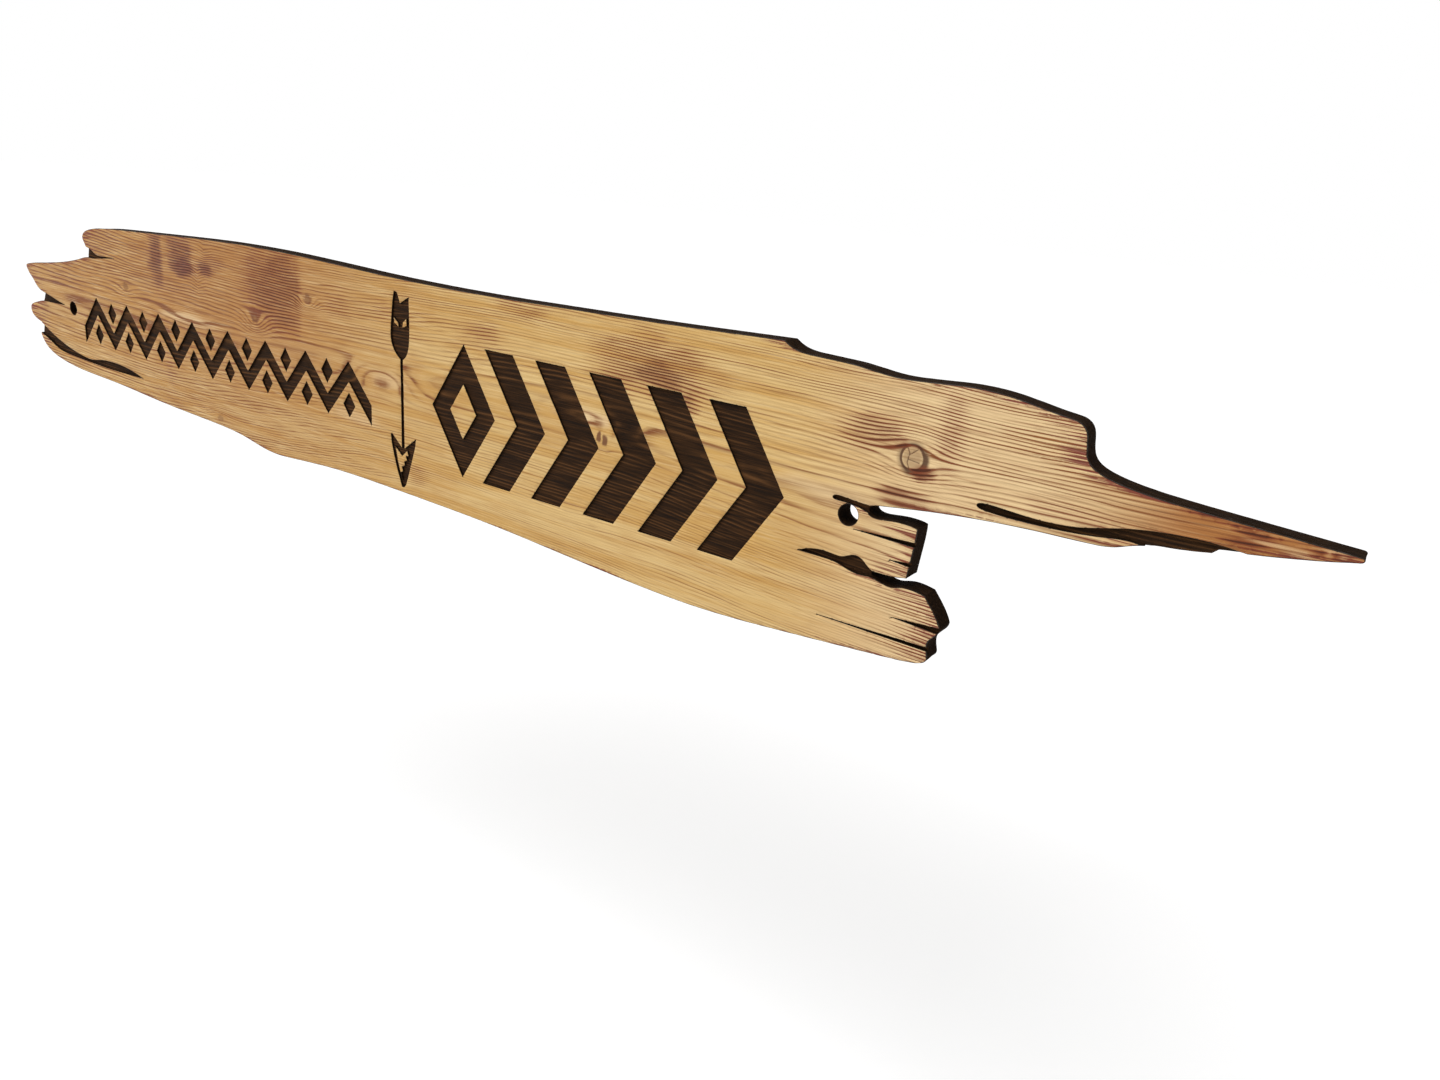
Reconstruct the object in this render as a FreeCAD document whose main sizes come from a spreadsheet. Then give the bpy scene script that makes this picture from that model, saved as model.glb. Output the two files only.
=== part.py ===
import FreeCAD, Part
import os
import Sketcher
from types import SimpleNamespace

# Engraved wooden sign: one softwood plank with a ragged outline, burnt splits, engraving and two screw holes.
# Millimetres. The origin is on the back face, midway between the screw holes. +X runs along the plank to its
# spike, +Z is up, and the engraved front faces -Y.
# A size that ends in _x or _z places a point: on the left end it is measured from the left screw hole, on the
# right end from the right screw hole, and on the engraving from the origin.

SIZES = {
    # The plank
    "board_thickness": 18.0,
    "hole_spacing": 970.0,
    "hole_diameter": 14.0,
    "top_edge_z": 99.0,
    "bottom_edge_z": -85.0,
    "edge_wander": 10.0,
    # Right end: chip in the top edge, shoulder and spike
    "chip_crest_x": -61.0,
    "chip_crest_z": 103.7,
    "shoulder_x": 132.0,
    "shoulder_z": 88.3,
    "spike_tip_x": 285.0,
    "spike_tip_z": 46.0,
    "spike_tip_width": 3.4,
    "burr_x": 218.0,
    "burr_z": 33.8,
    "burr_step": 3.0,
    # Right end: block between the two slots, and the tooth under it
    "upper_slot_x": 13.0,
    "upper_slot_gap": 8.6,
    "block_top_x": 48.5,
    "block_top_z": 2.5,
    "block_foot_x": 46.0,
    "block_foot_z": -31.5,
    "lower_slot_x": 20.5,
    "lower_slot_gap": 7.7,
    "right_tooth_top_x": 60.0,
    "right_tooth_tip_x": 73.3,
    "right_tooth_tip_z": -58.5,
    "heel_x": 68.0,
    "heel_z": -80.0,
    # Left end: two teeth and the lobe above them
    "gouge_foot_x": -81.0,
    "gouge_foot_z": -38.0,
    "gouge_top_x": -77.0,
    "gouge_top_z": -26.0,
    "lower_tooth_tip_x": -97.5,
    "lower_tooth_tip_z": -13.0,
    "wedge_foot_x": -72.0,
    "wedge_foot_z": -1.0,
    "wedge_top_x": -66.0,
    "wedge_top_z": 10.0,
    "upper_tooth_tip_x": -97.5,
    "upper_tooth_tip_z": 37.0,
    "cleft_foot_x": 37.0,
    "cleft_foot_z": 59.5,
    "cleft_top_x": 39.5,
    "cleft_top_z": 70.5,
    "lobe_nose_x": 34.5,
    "lobe_nose_z": 80.0,
    # Burnt splits cut into the front
    "split_depth": 3.0,
    "split_spread": 10.0,
    "split_run_out": 4.0,
    "gouge_tip_x": 132.0,
    "gouge_tip_z": -56.0,
    "wedge_tip_x": -18.0,
    "wedge_tip_z": 1.2,
    "cleft_tip_x": 94.0,
    "cleft_tip_z": 64.5,
    "upper_crack_tip_x": -12.6,
    "upper_crack_tip_z": 9.2,
    "lower_crack_tip_x": -34.0,
    "lower_crack_tip_z": -33.2,
    "spike_gouge_tip_x": 83.3,
    "spike_gouge_tip_z": 27.0,
    "spike_gouge_top_x": 232.0,
    "spike_gouge_top_z": 35.8,
    "spike_gouge_foot_x": 187.0,
    "spike_gouge_foot_z": 25.5,
    "block_split_tip_x": 5.0,
    "block_split_z": -8.4,
    "block_split_width": 3.2,
    "corner_split_tip_x": 33.0,
    "corner_split_z": -22.2,
    "corner_split_width": 3.6,
    "tooth_split_tip_x": 40.0,
    "tooth_split_z": -59.8,
    "tooth_split_width": 4.4,
    "heel_split_tip_x": -13.5,
    "heel_split_z": -74.2,
    "heel_split_width": 3.0,
    # Engraved arrow
    "engraving_depth": 2.0,
    "fletching_x": 54.2,
    "fletching_neck_z": 31.0,
    "fletching_width": 23.0,
    "fletching_length": 56.0,
    "shaft_width": 3.2,
    "head_x": 57.0,
    "head_tip_z": -81.0,
    "head_width": 31.6,
    "head_length": 46.0,
    # Engraved zigzag border on the left
    "zigzag_left_x": -464.0,
    "zigzag_z": -8.0,
    "zigzag_pitch": 60.0,
    "zigzag_count": 8,
    "zigzag_height": 34.0,
    "zigzag_stroke": 18.0,
    "bead_width": 16.0,
    "bead_height": 22.0,
    "bead_offset": 13.0,
    # Engraved lozenge and chevrons on the right
    "lozenge_x": 130.0,
    "lozenge_width": 72.0,
    "motif_height": 110.0,
    "island_share": 0.42,
    "chevron_width": 30.0,
    "chevron_gap": 24.0,
    "chevron_count": 5,
}

SHEET = "sizes"

# Vertices of a line, spline or circle in a sketch
START, END, CENTRE = range(1, 4)


class Length:
    """A length: its value in millimetres, and the sheet expression that gives it."""

    def __init__(self, value, text):
        self.value = value
        self.text = text

    def __add__(self, other):
        return Length(self.value + other.value, f"({self.text} + {other.text})")

    def __sub__(self, other):
        return Length(self.value - other.value, f"({self.text} - {other.text})")

    def __mul__(self, share):
        if isinstance(share, Length):
            return Length(self.value * share.value, f"({self.text} * {share.text})")
        return Length(self.value * share, f"({self.text} * ({share}))")


NONE = Length(0.0, "0")
size = SimpleNamespace(**{name: Length(value, f"{SHEET}.{name}") for name, value in SIZES.items()})


def from_left_hole(x, z):
    return size.hole_spacing * -0.5 + x, z


def from_right_hole(x, z):
    return size.hole_spacing * 0.5 + x, z


def along(start, end, poles, unit):
    """Points at shares of the way from start to end, lifted off that line by shares of a unit length."""
    (x0, z0), (x1, z1) = start, end
    return [(x0 + (x1 - x0) * share, z0 + (z1 - z0) * share + unit * lift) for share, lift in poles]


def toward(start, end, poles):
    """Points at shares of the way across and shares of the way up from start to end."""
    (x0, z0), (x1, z1) = start, end
    return [(x0 + (x1 - x0) * across, z0 + (z1 - z0) * up) for across, up in poles]


def edge_waves(level, waves):
    """Points of a long edge, at shares of the half spacing from the origin and of the wander off its level."""
    return [(size.hole_spacing * (station / 2), level + size.edge_wander * rise) for station, rise in waves]


def shifted(point, across, up):
    return point[0] + across, point[1] + up


def spline(places):
    degree = min(3, len(places) - 1)
    inner = len(places) - degree - 1
    ends = [degree + 1]
    curve = Part.BSplineCurve()
    curve.buildFromPolesMultsKnots(places, ends + [1] * inner + ends, list(range(inner + 2)), False, degree)
    return curve


def hold(sketch, geometry, vertex, point):
    """Bind a point of the sketch to the sheet."""
    for kind, length in zip(("DistanceX", "DistanceY"), point):
        index = sketch.addConstraint(Sketcher.Constraint(kind, -1, 1, geometry, vertex, length.value))
        sketch.setExpression(f"Constraints[{index}]", length.text)


def add_loop(sketch, stretches):
    """Draw a closed loop whose corners are bound to the sheet.

    A stretch of two points is a line. A longer one is a spline, whose inner control points are placed from the
    same values and left free to bend with its ends.
    """
    drawn = []
    for points in stretches:
        places = [FreeCAD.Vector(x.value, z.value, 0) for x, z in points]
        curve = Part.LineSegment(*places) if len(places) == 2 else spline(places)
        drawn.append(sketch.addGeometry(curve, False))
        hold(sketch, drawn[-1], START, points[0])
    for index, following in zip(drawn, drawn[1:] + drawn[:1]):
        sketch.addConstraint(Sketcher.Constraint("Coincident", index, END, following, START))


def add_polygon(sketch, corners):
    add_loop(sketch, list(zip(corners, corners[1:] + corners[:1])))


def add_circle(sketch, centre, diameter):
    place = FreeCAD.Vector(centre[0].value, centre[1].value, 0)
    index = sketch.addGeometry(Part.Circle(place, FreeCAD.Vector(0, 0, 1), diameter.value / 2), False)
    hold(sketch, index, CENTRE, centre)
    bound = sketch.addConstraint(Sketcher.Constraint("Diameter", index, diameter.value))
    sketch.setExpression(f"Constraints[{bound}]", diameter.text)


def add_sketch(body, name, on_front):
    """A sketch in the plane of the plank, with sketch x along X and sketch y along Z, on its back or front."""
    sketch = body.newObject("Sketcher::SketchObject", name)
    plane = next(feature for feature in body.Origin.OriginFeatures if feature.Role == "XZ_Plane")
    sketch.AttachmentSupport = [(plane, "")]
    sketch.MapMode = "FlatFace"
    if on_front:
        sketch.setExpression("AttachmentOffset.Base.z", size.board_thickness.text)
    return sketch


def cut(body, sketch, name, depth=None):
    """Sink a sketch on the front into the plank, right through where no depth is given."""
    before = body.Shape.Volume
    pocket = body.newObject("PartDesign::Pocket", name)
    pocket.Profile = sketch
    pocket.Reversed = False
    if depth is None:
        pocket.Type = "ThroughAll"
    else:
        pocket.Type = "Length"
        pocket.setExpression("Length", depth.text)
    body.Document.recompute()
    if body.Shape.Volume >= before:
        raise RuntimeError(f"{name} cut nothing")
    return pocket


def repeat(body, feature, sketch, pitch, count):
    """Repeat a cut along X, with one pitch between copies."""
    before = body.Shape.Volume
    pattern = body.newObject("PartDesign::LinearPattern", f"{feature.Name}_row")
    pattern.Originals = [feature]
    pattern.Direction = (sketch, ["H_Axis"])
    pattern.Mode = "Spacing"
    pattern.setExpression("Offset", pitch.text)
    pattern.setExpression("Occurrences", count)
    body.Tip = pattern
    body.Document.recompute()
    if body.Shape.Volume >= before:
        raise RuntimeError(f"{pattern.Name} cut nothing")


# Corners of the outline, shared by the edges and the splits that open at them
chip_crest = from_right_hole(size.chip_crest_x, size.chip_crest_z)
shoulder = from_right_hole(size.shoulder_x, size.shoulder_z)
spike_tip = from_right_hole(size.spike_tip_x, size.spike_tip_z)
burr = from_right_hole(size.burr_x, size.burr_z)
burr_foot = shifted(burr, size.burr_step * -1, size.burr_step * -1)
upper_slot = from_right_hole(size.upper_slot_x, size.block_top_z + size.upper_slot_gap * 0.5)
block_top = from_right_hole(size.block_top_x, size.block_top_z)
block_foot = from_right_hole(size.block_foot_x, size.block_foot_z)
lower_slot = from_right_hole(size.lower_slot_x, size.block_foot_z - size.lower_slot_gap * 0.5)
right_tooth_top = from_right_hole(size.right_tooth_top_x, size.block_foot_z - size.lower_slot_gap)
right_tooth_tip = from_right_hole(size.right_tooth_tip_x, size.right_tooth_tip_z)
heel = from_right_hole(size.heel_x, size.heel_z)
gouge_foot = from_left_hole(size.gouge_foot_x, size.gouge_foot_z)
gouge_top = from_left_hole(size.gouge_top_x, size.gouge_top_z)
lower_tooth_tip = from_left_hole(size.lower_tooth_tip_x, size.lower_tooth_tip_z)
wedge_foot = from_left_hole(size.wedge_foot_x, size.wedge_foot_z)
wedge_top = from_left_hole(size.wedge_top_x, size.wedge_top_z)
upper_tooth_tip = from_left_hole(size.upper_tooth_tip_x, size.upper_tooth_tip_z)
cleft_foot = from_left_hole(size.cleft_foot_x, size.cleft_foot_z)
cleft_top = from_left_hole(size.cleft_top_x, size.cleft_top_z)
lobe_nose = from_left_hole(size.lobe_nose_x, size.lobe_nose_z)
left_hole = from_left_hole(NONE, NONE)
right_hole = from_right_hole(NONE, NONE)


def outline_stretches():
    """The plank's outline, clockwise from the nose of the upper left lobe."""
    wander = size.edge_wander
    top = edge_waves(size.top_edge_z, [
        (-0.825, -0.47), (-0.62, -0.15), (-0.41, 0.35), (-0.165, 0.35), (0.06, -0.15), (0.31, -0.25),
        (0.515, 0.0), (0.70, 0.15), (0.825, 0.4)])
    bottom = edge_waves(size.bottom_edge_z, [
        (1.03, -0.55), (0.93, -0.98), (0.785, -1.48), (0.66, -1.32), (0.495, -0.82), (0.33, -0.3),
        (0.124, -0.1), (-0.062, 0.07), (-0.186, -0.35), (-0.268, -0.65), (-0.33, -0.1), (-0.392, 0.48),
        (-0.536, 0.7), (-0.68, 0.95), (-0.825, 1.5), (-0.97, 1.62)])
    tip_top = shifted(spike_tip, size.spike_tip_width * -0.6, size.spike_tip_width * 0.5)
    tip_foot = shifted(spike_tip, size.spike_tip_width * -0.9, size.spike_tip_width * -0.5)
    tip_round = [
        shifted(spike_tip, size.spike_tip_width * 0.1, size.spike_tip_width * 0.35),
        shifted(spike_tip, NONE, size.spike_tip_width * -0.4)]
    return [
        [lobe_nose, *toward(lobe_nose, top[0], [(0.02, 0.38), (0.3, 0.74)]), *top, chip_crest],
        [chip_crest, *along(chip_crest, shoulder, [
            (0.04, -0.48), (0.11, -0.48), (0.29, -0.22), (0.42, -0.52), (0.60, 0.12), (0.78, 0.51),
            (0.94, 0.03)], wander), shoulder],
        [shoulder, *toward(shoulder, tip_top, [
            (0.046, 0.057), (0.053, 0.30), (0.063, 0.55), (0.126, 0.695), (0.285, 0.818), (0.55, 0.89),
            (0.815, 0.953)]), tip_top],
        [tip_top, *tip_round, tip_foot],
        [tip_foot, *along(tip_foot, burr, [(0.3, -0.13), (0.7, -0.1)], wander), burr],
        [burr, burr_foot],
        [burr_foot, *along(burr_foot, upper_slot, [
            (0.074, -0.1), (0.178, 0.15), (0.238, -0.41), (0.307, -0.34), (0.495, 0.11), (0.693, 0.33),
            (0.842, 0.36), (0.94, 0.30), (1.0, 0.32)], wander), upper_slot],
        [upper_slot, *along(upper_slot, block_top, [
            (0.0, -0.32), (0.2, -0.41), (0.45, -0.11), (0.845, 0.11)], wander), block_top],
        [block_top, *toward(block_top, block_foot, [(-0.2, 0.25), (0.52, 0.6)]), block_foot],
        [block_foot, *along(block_foot, lower_slot, [
            (0.35, -0.06), (0.82, 0.16), (1.0, 0.19)], wander), lower_slot],
        [lower_slot, *along(lower_slot, right_tooth_top, [
            (0.0, -0.2), (0.165, -0.17), (0.39, -0.41), (0.595, 0.07), (0.82, 0.09)], wander), right_tooth_top],
        [right_tooth_top, *toward(right_tooth_top, right_tooth_tip, [
            (0.45, 0.35), (0.9, 0.75)]), right_tooth_tip],
        [right_tooth_tip, *toward(right_tooth_tip, heel, [(0.06, 0.21), (1.66, 0.42), (1.28, 0.77)]), heel],
        [heel, *toward(heel, bottom[0], [(0.0, 0.43), (0.2, 0.72)]), *bottom,
            *toward(bottom[-1], gouge_foot, [(0.55, 0.14), (0.94, 0.48)]), gouge_foot],
        [gouge_foot, gouge_top],
        [gouge_top, *toward(gouge_top, lower_tooth_tip, [(0.68, 0.27), (1.0, 0.54)]), lower_tooth_tip],
        [lower_tooth_tip, *toward(lower_tooth_tip, wedge_foot, [
            (0.0, 0.375), (0.29, 0.67), (0.69, 0.83)]), wedge_foot],
        [wedge_foot, wedge_top],
        [wedge_top, *toward(wedge_top, upper_tooth_tip, [
            (0.32, 0.07), (0.635, 0.54), (0.95, 0.74)]), upper_tooth_tip],
        [upper_tooth_tip, *along(upper_tooth_tip, cleft_foot, [
            (0.056, 0.12), (0.24, 0.01), (0.61, -0.28), (0.836, -0.18)], wander), cleft_foot],
        [cleft_foot, cleft_top],
        [cleft_top, *toward(cleft_top, lobe_nose, [(0.2, 0.37), (1.0, 0.63)]), lobe_nose],
    ]


def lips(tip, top, foot, upper, lower, mouth):
    """A split from its tip along the upper lip, out round its mouth, and back along the lower lip."""
    spread = size.split_spread
    route = [top, *mouth, foot]
    return [
        [tip, *along(tip, top, upper, spread), top],
        *zip(route, route[1:]),
        [foot, *along(foot, tip, lower, spread), tip],
    ]


def split_loops():
    """The long burnt splits. Each opens at the outline or in a slot, where its mouth runs out past the wood."""
    out_left = size.split_run_out * -1
    out_below = size.split_run_out * -1
    gouge_tip = from_left_hole(size.gouge_tip_x, size.gouge_tip_z)
    wedge_tip = from_left_hole(size.wedge_tip_x, size.wedge_tip_z)
    cleft_tip = from_left_hole(size.cleft_tip_x, size.cleft_tip_z)
    upper_crack_tip = from_right_hole(size.upper_crack_tip_x, size.upper_crack_tip_z)
    lower_crack_tip = from_right_hole(size.lower_crack_tip_x, size.lower_crack_tip_z)
    spike_gouge_tip = from_right_hole(size.spike_gouge_tip_x, size.spike_gouge_tip_z)
    spike_gouge_top = from_right_hole(size.spike_gouge_top_x, size.spike_gouge_top_z)
    spike_gouge_foot = from_right_hole(size.spike_gouge_foot_x, size.spike_gouge_foot_z)
    upper_gap = size.upper_slot_gap
    lower_gap = size.lower_slot_gap
    return [
        lips(gouge_tip, gouge_top, gouge_foot,
             [(0.12, 0.24), (0.234, 0.1), (0.392, -0.43), (0.488, -1.26), (0.63, -1.32), (0.8, -1.1),
              (0.943, -0.38)],
             [(0.075, -0.21), (0.17, -1.2), (0.31, -1.04), (0.545, -0.87), (0.78, -0.5)],
             [shifted(gouge_top, out_left, NONE), shifted(gouge_foot, out_left, NONE)]),
        lips(wedge_tip, wedge_top, wedge_foot,
             [(0.354, -0.08), (0.667, 0.14)],
             [(0.315, 0.11), (0.685, -0.02)],
             [shifted(wedge_top, out_left, NONE), shifted(wedge_foot, out_left, NONE)]),
        lips(cleft_tip, cleft_top, cleft_foot,
             [(0.385, -0.3), (0.624, -0.54), (0.716, -0.22), (0.9, 0.04)],
             [(0.21, -0.11), (0.42, -0.13), (0.6, -0.04)],
             [shifted(cleft_top, out_left, NONE), shifted(cleft_foot, out_left, NONE)]),
        lips(upper_crack_tip, shifted(upper_slot, upper_gap * 0.5, upper_gap * 0.33),
             shifted(upper_slot, upper_gap * 0.3, upper_gap * -0.33),
             [(0.0, 0.23), (0.25, 0.22), (0.61, 0.02)],
             [(0.29, 0.15), (0.616, 0.14), (1.0, -0.17)], []),
        lips(lower_crack_tip, shifted(lower_slot, lower_gap * 0.4, lower_gap * 0.2),
             shifted(lower_slot, lower_gap * 0.4, lower_gap * -0.2),
             [(0.156, 0.43), (0.38, 0.56), (0.573, 0.3), (0.694, 0.84), (0.833, 0.82), (0.92, 0.17)],
             [(0.15, -0.19), (0.32, -0.18), (0.5, 0.25), (0.81, 0.04)], []),
        lips(spike_gouge_tip, spike_gouge_top, spike_gouge_foot,
             [(0.0, 0.22), (0.079, 0.13), (0.247, -0.29), (0.415, -0.32), (0.55, 0.17), (0.717, 0.4),
              (0.886, 0.32)],
             [(0.116, 0.28), (0.26, 0.01), (0.453, -0.22), (0.743, -0.32), (0.936, -0.26), (1.0, -0.16)],
             [shifted(spike_gouge_top, NONE, out_below)]),
    ]


def short_split(tip_x, level, width, mouth_x):
    """A straight split that widens from its tip to its mouth, just past the right end of the wood."""
    mouth = mouth_x + size.split_run_out
    return [
        from_right_hole(tip_x, level),
        from_right_hole(mouth, level + width * 0.5),
        from_right_hole(mouth, level - width * 0.5),
    ]


def short_splits():
    return [
        short_split(size.block_split_tip_x, size.block_split_z, size.block_split_width, size.block_top_x),
        short_split(size.corner_split_tip_x, size.corner_split_z, size.corner_split_width, size.block_top_x),
        short_split(size.tooth_split_tip_x, size.tooth_split_z, size.tooth_split_width, size.right_tooth_tip_x),
        short_split(size.heel_split_tip_x, size.heel_split_z, size.heel_split_width, size.right_tooth_tip_x),
    ]


def scaled(x, z, width, length, shares):
    """Points of a figure, as shares of its half width from its axis and of its length from its base."""
    return [(x + width * (across / 2), z + length * up) for across, up in shares]


def arrow_loops():
    """An arrow that points down: feathers, a thin shaft and a barbed head, with uncut islands in both ends."""
    feathers = (size.fletching_x, size.fletching_neck_z, size.fletching_width, size.fletching_length)
    head = (size.head_x, size.head_tip_z, size.head_width, size.head_length)
    half_shaft = size.shaft_width * 0.5
    neck_left = (size.fletching_x + size.shaft_width * 0.1, size.fletching_neck_z)
    neck_right = (size.fletching_x + size.shaft_width * 1.0, size.fletching_neck_z)
    notch_z = size.head_tip_z + size.head_length * 0.76
    notch_left = (size.head_x - half_shaft, notch_z)
    notch_right = (size.head_x + half_shaft, notch_z)
    outer = [
        neck_right,
        *scaled(*feathers, [
            (0.62, 0.06), (0.9, 0.2), (1.0, 0.45), (0.98, 0.7), (0.94, 0.94), (0.02, 0.83), (-0.28, 0.985),
            (-0.6, 1.0), (-0.76, 0.85), (-0.95, 0.52), (-1.0, 0.38), (-0.93, 0.24), (-0.55, 0.1)]),
        neck_left,
        notch_left,
        *scaled(*head, [(-0.92, 1.0), (-1.0, 0.97), (-0.92, 0.8), (-0.62, 0.44), (-0.14, 0.01), (0.02, 0.0),
                        (0.18, 0.06), (0.6, 0.48), (0.95, 0.86), (1.0, 1.0)]),
        notch_right,
    ]
    left_eye = scaled(*feathers, [(-0.66, 0.62), (-0.18, 0.54), (-0.1, 0.48), (-0.6, 0.53)])
    right_eye = scaled(*feathers, [(0.26, 0.47), (0.74, 0.52), (0.7, 0.63), (0.32, 0.56)])
    barb = scaled(*head, [
        (-0.64, 0.76), (-0.1, 0.61), (0.31, 0.74), (0.42, 0.64), (0.2, 0.62), (0.3, 0.54), (0.06, 0.51),
        (0.12, 0.43), (-0.12, 0.4), (-0.04, 0.31), (-0.22, 0.28), (-0.08, 0.14), (-0.3, 0.33), (-0.5, 0.56)])
    return [outer, left_eye, right_eye, barb]


def lozenge(centre, width, height):
    half_width = width * 0.5
    half_height = height * 0.5
    x, z = centre
    return [(x - half_width, z), (x, z + half_height), (x + half_width, z), (x, z - half_height)]


def zigzag_unit():
    """One peak of the zigzag, from one valley to the next."""
    left = size.zigzag_left_x
    peak = left + size.zigzag_pitch * 0.5
    right = left + size.zigzag_pitch
    low = size.zigzag_z - size.zigzag_height * 0.5
    high = size.zigzag_z + size.zigzag_height * 0.5
    half = size.zigzag_stroke * 0.5
    return [(left, low - half), (left, low + half), (peak, high + half),
            (right, low + half), (right, low - half), (peak, high - half)]


def chevron():
    """The first chevron, one gap behind the lozenge and parallel to its sides."""
    point = size.lozenge_width * 0.5
    top = size.motif_height * 0.5
    foot = size.motif_height * -0.5
    back = size.lozenge_x + size.chevron_gap
    front = back + size.chevron_width
    return [(back, top), (front, top), (front + point, NONE), (front, foot), (back, foot), (back + point, NONE)]


def build_plank(doc):
    body = doc.addObject("PartDesign::Body", "sign_board")
    body.Label = "sign_board"
    outline = add_sketch(body, "outline", on_front=False)
    add_loop(outline, outline_stretches())
    plank = body.newObject("PartDesign::Pad", "plank")
    plank.Profile = outline
    plank.setExpression("Length", size.board_thickness.text)
    doc.recompute()

    holes = add_sketch(body, "hole_places", on_front=True)
    for centre in (left_hole, right_hole):
        add_circle(holes, centre, size.hole_diameter)
    cut(body, holes, "screw_holes")

    splits = add_sketch(body, "split_lines", on_front=True)
    for loop in split_loops():
        add_loop(splits, loop)
    cut(body, splits, "splits", size.split_depth)
    cracks = add_sketch(body, "short_split_lines", on_front=True)
    for corners in short_splits():
        add_polygon(cracks, corners)
    cut(body, cracks, "short_splits", size.split_depth)

    arrow = add_sketch(body, "arrow_lines", on_front=True)
    for corners in arrow_loops():
        add_polygon(arrow, corners)
    cut(body, arrow, "arrow", size.engraving_depth)

    zigzag = add_sketch(body, "zigzag_lines", on_front=True)
    add_polygon(zigzag, zigzag_unit())
    peak_x = size.zigzag_left_x + size.zigzag_pitch * 0.5
    add_polygon(zigzag, lozenge((peak_x, size.zigzag_z - size.bead_offset), size.bead_width, size.bead_height))
    peak = cut(body, zigzag, "zigzag", size.engraving_depth)
    repeat(body, peak, zigzag, size.zigzag_pitch, size.zigzag_count.text)

    beads = add_sketch(body, "bead_lines", on_front=True)
    valley_x = size.zigzag_left_x + size.zigzag_pitch
    add_polygon(beads, lozenge((valley_x, size.zigzag_z + size.bead_offset), size.bead_width, size.bead_height))
    bead = cut(body, beads, "bead", size.engraving_depth)
    repeat(body, bead, beads, size.zigzag_pitch, f"{size.zigzag_count.text} - 1")

    frame = add_sketch(body, "lozenge_lines", on_front=True)
    for share in (1.0, size.island_share):
        centre = (size.lozenge_x, NONE)
        add_polygon(frame, lozenge(centre, size.lozenge_width * share, size.motif_height * share))
    cut(body, frame, "lozenge", size.engraving_depth)

    pointers = add_sketch(body, "chevron_lines", on_front=True)
    add_polygon(pointers, chevron())
    pointer = cut(body, pointers, "chevron", size.engraving_depth)
    repeat(body, pointer, pointers, size.chevron_width + size.chevron_gap, size.chevron_count.text)
    return body


def main():
    doc = FreeCAD.newDocument("wooden_sign")
    sheet = doc.addObject("Spreadsheet::Sheet", SHEET)
    for row, (name, value) in enumerate(SIZES.items(), 1):
        sheet.set(f"A{row}", name)
        sheet.set(f"B{row}", str(value))
        sheet.setAlias(f"B{row}", name)
    doc.recompute()
    parts = [build_plank(doc)]
    for thing in doc.Objects:
        if "Invalid" in thing.State or "Error" in thing.State:
            raise RuntimeError(f"{thing.Name} failed: {thing.State}")
    for part in parts:
        if part.Shape.isNull() or not part.Shape.isValid() or len(part.Shape.Solids) != 1:
            raise RuntimeError(f"{part.Label} is not one valid solid")
    os.makedirs("parts", exist_ok=True)
    for part in parts:
        part.Shape.exportStep(f"parts/{part.Label}.step")
        box = part.Shape.BoundBox
        sides = f"{box.XLength:.1f} x {box.YLength:.1f} x {box.ZLength:.1f} mm"
        print(part.Label, sides, f"{part.Shape.Volume:.0f} mm3")


main()
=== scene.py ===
"""The looks of an engraved wooden sign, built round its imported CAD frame.

The plank is remade from the rims of the frame's own flat faces, so its outline, splits, engraving and
holes stay where they are. It gains a brushed grain, eased and charred edges, knots and torch marks.
Lengths are millimetres in the part's frame, and only the floor and the camera are placed in metres.
"""

import math
from collections import namedtuple

import bmesh
import bpy
import numpy as np
from mathutils import Matrix, Vector, noise
from mathutils.geometry import delaunay_2d_cdt
from mathutils.kdtree import KDTree


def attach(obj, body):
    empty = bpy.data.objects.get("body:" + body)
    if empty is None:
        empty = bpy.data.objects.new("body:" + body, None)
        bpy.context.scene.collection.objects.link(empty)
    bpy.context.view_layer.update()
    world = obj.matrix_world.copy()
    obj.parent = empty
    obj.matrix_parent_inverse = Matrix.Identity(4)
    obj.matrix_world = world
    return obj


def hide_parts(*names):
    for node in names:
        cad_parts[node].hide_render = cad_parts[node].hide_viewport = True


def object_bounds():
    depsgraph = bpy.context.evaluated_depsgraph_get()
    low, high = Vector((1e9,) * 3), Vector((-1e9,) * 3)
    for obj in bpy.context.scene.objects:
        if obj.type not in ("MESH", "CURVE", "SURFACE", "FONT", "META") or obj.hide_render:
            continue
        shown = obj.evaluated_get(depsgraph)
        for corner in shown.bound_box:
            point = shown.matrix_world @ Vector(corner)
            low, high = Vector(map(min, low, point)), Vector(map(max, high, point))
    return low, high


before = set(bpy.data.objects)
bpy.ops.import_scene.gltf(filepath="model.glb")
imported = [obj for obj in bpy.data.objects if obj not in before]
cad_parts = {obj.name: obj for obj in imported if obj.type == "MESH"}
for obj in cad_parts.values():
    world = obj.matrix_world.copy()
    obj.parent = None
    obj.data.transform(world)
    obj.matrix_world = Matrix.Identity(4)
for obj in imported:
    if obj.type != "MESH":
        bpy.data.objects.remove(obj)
cad_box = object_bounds()

MM = 0.001

# A change over the plank: its strength where it is full, and where it starts and where it is full.
Slope = namedtuple("Slope", "strength start full")

# Smooth noise: its strength, the length and height of its patches, and its layer of the noise.
Ripple = namedtuple("Ripple", "strength along across layer")

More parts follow.
